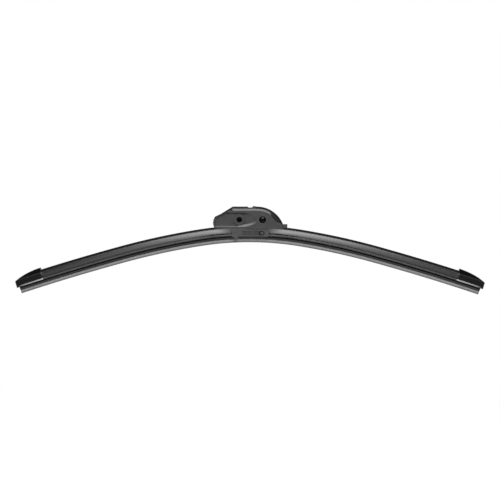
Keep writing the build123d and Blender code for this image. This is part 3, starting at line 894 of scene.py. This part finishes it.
def build():
    """Makes all pieces. Gives back those that lie under the adapter's overhang, and the hood that
    hangs over them."""
    squeegee()
    end_cap("left", -1)
    end_cap("right", 1)
    sheltered = (
        spoiler("left", -1),
        spoiler("right", 1),
        dressed("connector_base", "saddle", "blade", "base_plastic", BASE_EDGE),
    )
    rivet()
    hood = (
        dressed("adapter_body", "adapter", "adapter", "adapter_plastic", ADAPTER_EDGE),
        dressed("locking_cover", "flip_cover", "cover", "cover_plastic", COVER_EDGE),
    )
    paint("spring_rail_front", "spring_steel")
    paint("spring_rail_rear", "spring_steel")
    paint("pivot_bush", "base_plastic")
    return sheltered, hood


def mixed(tree, factor, first, second):
    mix = add(tree, "ShaderNodeMixShader")
    for socket, value in zip(mix.inputs, (factor, first, second)):
        tree.links.new(value, socket)
    return mix.outputs[0]


def ray_kinds(tree):
    """Whether a ray comes straight from the camera, and whether from gloss or through glass."""
    path = add(tree, "ShaderNodeLightPath").outputs
    return path["Is Camera Ray"], larger(tree, path["Is Glossy Ray"], path["Is Transmission Ray"])


def world():
    """White where the camera looks. Gloss sees a white backdrop behind and a dim room in front."""
    studio = bpy.data.worlds.new("studio")
    bpy.context.scene.world = studio
    studio.use_nodes = True
    tree = studio.node_tree
    white, room, ambient = (
        add(tree, "ShaderNodeBackground", color=grey(value), strength=1.0).outputs[0]
        for value in (1.0, ROOM_GREY, AMBIENT_GREY)
    )
    direction = axes(tree, add(tree, "ShaderNodeTexCoord").outputs["Generated"])
    behind = remapped(tree, direction["Y"], from_min=-BACKDROP_SIDE, from_max=BACKDROP_SIDE)
    low = remapped(tree, direction["Z"], from_min=BACKDROP_TOP[0], from_max=BACKDROP_TOP[1])
    seen, reflected = ray_kinds(tree)
    mirrored = mixed(tree, maths(tree, "MULTIPLY", behind, low), room, white)
    shown = mixed(tree, seen, mixed(tree, reflected, ambient, mirrored), white)
    tree.links.new(shown, tree.nodes["World Output"].inputs["Surface"])


def floor():
    """A pale sheet that starts in front of the object, keeps its shadow and turns white far off."""
    centre = (0, (FLOOR_RADIUS - FLOOR_FRONT) * MM, FLOOR_Z * MM)
    bpy.ops.mesh.primitive_circle_add(
        vertices=FLOOR_SIDES, radius=FLOOR_RADIUS * MM, fill_type="NGON", location=centre
    )
    sheet = bpy.context.object
    sheet.name = "floor"
    material, tree, shader = new_material("floor_paper")
    shader.inputs["Base Color"].default_value = grey(FLOOR_GREY)
    shader.inputs["Roughness"].default_value = FLOOR_ROUGHNESS
    paper = shader.outputs[0]
    lift, white = (
        add(tree, "ShaderNodeEmission", color=grey(1.0), strength=strength).outputs[0]
        for strength in (FLOOR_LIFT, 1.0)
    )
    lit = add(tree, "ShaderNodeAddShader")
    tree.links.new(paper, lit.inputs[0])
    tree.links.new(lift, lit.inputs[1])
    spot = add(tree, "ShaderNodeNewGeometry").outputs["Position"]
    away = add(tree, "ShaderNodeVectorMath", operation="LENGTH", vector=spot).outputs["Value"]
    fade = remapped(tree, away, from_min=FLOOR_NEAR * MM, from_max=FLOOR_FAR * MM)
    sheet_seen = mixed(tree, fade, lit.outputs[0], white)
    seen, reflected = ray_kinds(tree)
    shown = mixed(tree, seen, mixed(tree, reflected, paper, sheet_seen), sheet_seen)
    tree.links.new(shown, tree.nodes["Material Output"].inputs["Surface"])
    sheet.data.materials.append(material)


def linked(name, objects, state):
    """A collection that says which objects a lamp lights, or which block it."""
    group = bpy.data.collections.new(name)
    for obj in objects:
        group.objects.link(obj)
    for member in group.collection_objects:
        member.light_linking.link_state = state
    return group


def softbox(name):
    """A lamp in the softbox's place. Gives back what says which objects it lights."""
    lamp = bpy.data.lights.new(name, "AREA")
    lamp.shape = "RECTANGLE"
    lamp.size, lamp.size_y = KEY_SIZE[0] * MM, KEY_SIZE[1] * MM
    lamp.energy = KEY_WATTS
    obj = bpy.data.objects.new(name, lamp)
    bpy.context.scene.collection.objects.link(obj)
    obj.location = Vector(KEY_PLACE) * MM
    aim = Vector(LIGHT_TARGET) - Vector(KEY_PLACE)
    obj.rotation_euler = aim.to_track_quat("-Z", "Y").to_euler()
    return obj.light_linking


def lights(sheltered, hood):
    """One softbox, as two lamps. One lights only the sheltered pieces, and the hood above doesn't
    block it, because in the photograph their gloss runs on under it."""
    softbox("key").receiver_collection = linked("not_sheltered", sheltered, "EXCLUDE")
    share = softbox("under_key")
    share.receiver_collection = linked("sheltered", sheltered, "INCLUDE")
    share.blocker_collection = linked("not_hood", hood, "EXCLUDE")


def camera():
    """The photograph's view, aimed so that the arm-pin hole falls on its pixel."""
    data = bpy.data.cameras.new("camera")
    data.sensor_width = SENSOR_WIDTH
    data.lens = SENSOR_WIDTH * CAMERA_DISTANCE / (PHOTO_PIXELS * MM_PER_PIXEL)
    data.clip_end = CAMERA_CLIP * MM
    obj = bpy.data.objects.new("camera", data)
    bpy.context.scene.collection.objects.link(obj)
    right, down = ((middle - pin) * MM_PER_PIXEL for middle, pin in zip(PHOTO_MIDDLE, PHOTO_PIN))
    aim = Vector((right, 0, -down))
    turn = math.radians(CAMERA_ELEVATION)
    away = Vector((0, -math.cos(turn), math.sin(turn))) * CAMERA_DISTANCE
    obj.location = (aim + away) * MM
    look = (-away).to_track_quat("-Z", "Y").to_matrix()
    obj.rotation_euler = (look @ Matrix.Rotation(CAMERA_ROLL, 3, "Z")).to_euler()
    bpy.context.scene.camera = obj


sheltered, hood = build()
world()
floor()
lights(sheltered, hood)
camera()
bpy.context.scene.view_settings.view_transform = "Standard"
